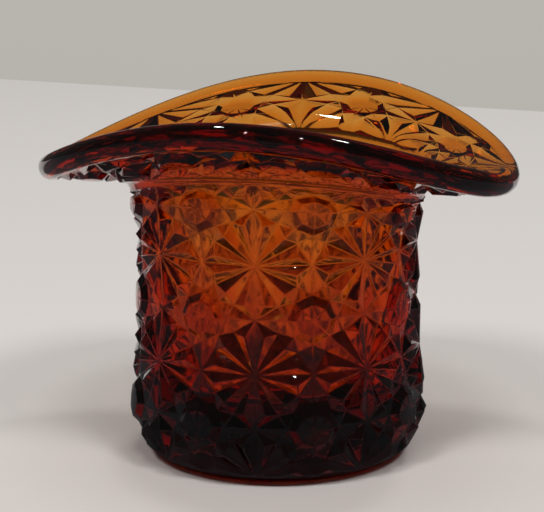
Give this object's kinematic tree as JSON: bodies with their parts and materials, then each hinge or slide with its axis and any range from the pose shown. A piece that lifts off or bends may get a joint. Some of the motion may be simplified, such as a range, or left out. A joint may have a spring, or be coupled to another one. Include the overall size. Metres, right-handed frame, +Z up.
{
  "type": "glass hat",
  "caption": "Pressed glass hat with a saddle-shaped brim and a daisy and button figure, a small open holder that stands on its crown.",
  "frame": {"origin": "centre of the foot ring on the table", "axes": "+Z up out of the hat's mouth, +X along the brim's two low ends, Y across the turned-up sides"},
  "size_m": [0.084, 0.0748, 0.0638],
  "materials": {
    "glass": "clear amber, fire polished"
  },
  "bodies": {
    "root": {"foot": "glass", "crown_wall": "glass", "brim": "glass", "rim": "glass", "crown_daisies": "glass", "crown_buttons": "glass", "crown_stars": "glass", "brim_daisies": "glass", "brim_buttons": "glass", "brim_stars": "glass"}
  },
  "joints": []
}
